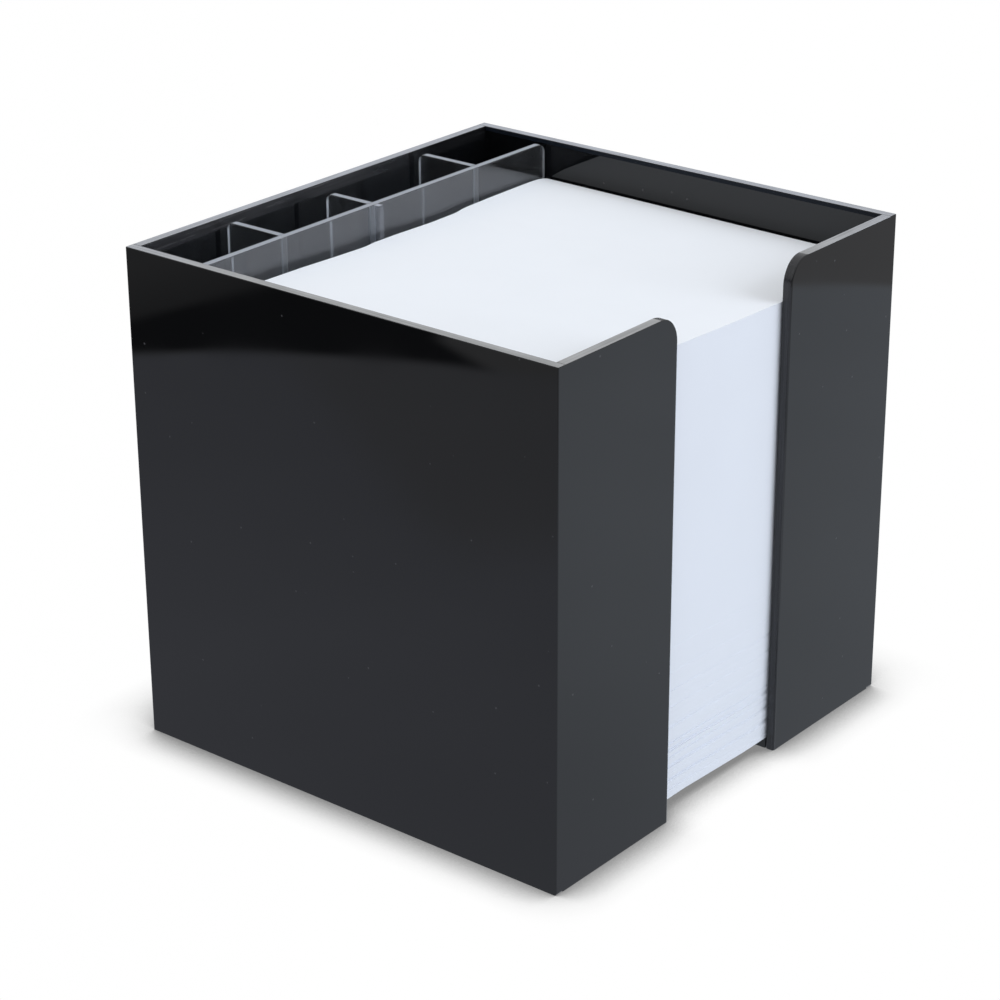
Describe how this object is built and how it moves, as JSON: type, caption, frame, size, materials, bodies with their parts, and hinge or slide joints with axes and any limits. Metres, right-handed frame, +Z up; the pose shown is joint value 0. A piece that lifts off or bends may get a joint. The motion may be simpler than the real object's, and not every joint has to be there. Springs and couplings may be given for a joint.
{
  "type": "memo sheet box with pen cells",
  "caption": "Open-topped black acrylic box for loose note sheets, with a full-height finger slot in the front and a clear insert that makes pen and clip cells behind the paper.",
  "frame": {"origin": "centre of the underside, on the surface that the box stands on", "axes": "+X along the slotted front towards the right-hand cheek as seen from the front, +Y from the slotted front to the back panel, +Z up; millimetres in the source, metres here"},
  "size_m": [0.104, 0.1006, 0.1],
  "materials": {
    "black_acrylic": "glossy cast sheet, sawn edges satin",
    "clear_acrylic": "clear glossy sheet, bright edges",
    "note_paper": "matt white note paper"
  },
  "bodies": {
    "box": {"floor_panel": "black_acrylic", "left_side_panel": "black_acrylic", "right_side_panel": "black_acrylic", "back_panel": "black_acrylic", "front_left_cheek": "black_acrylic", "front_right_cheek": "black_acrylic"},
    "divider_insert": {"partition": "clear_acrylic", "left_divider": "clear_acrylic", "middle_divider": "clear_acrylic", "right_divider": "clear_acrylic"},
    "paper_stack": {"paper_stack": "note_paper"},
    "top_sheet": {"top_sheet": "note_paper"}
  },
  "joints": [
    {"name": "insert_lift", "type": "slide", "parent": "box", "child": "divider_insert", "axis": [0, 0, 1], "range_m": [0, 0.1]},
    {"name": "paper_lift", "type": "slide", "parent": "box", "child": "paper_stack", "axis": [0, 0, 1], "range_m": [0, 0.1]},
    {"name": "top_sheet_lift", "type": "slide", "parent": "paper_stack", "child": "top_sheet", "axis": [0, 0, 1], "range_m": [0, 0.03]}
  ]
}
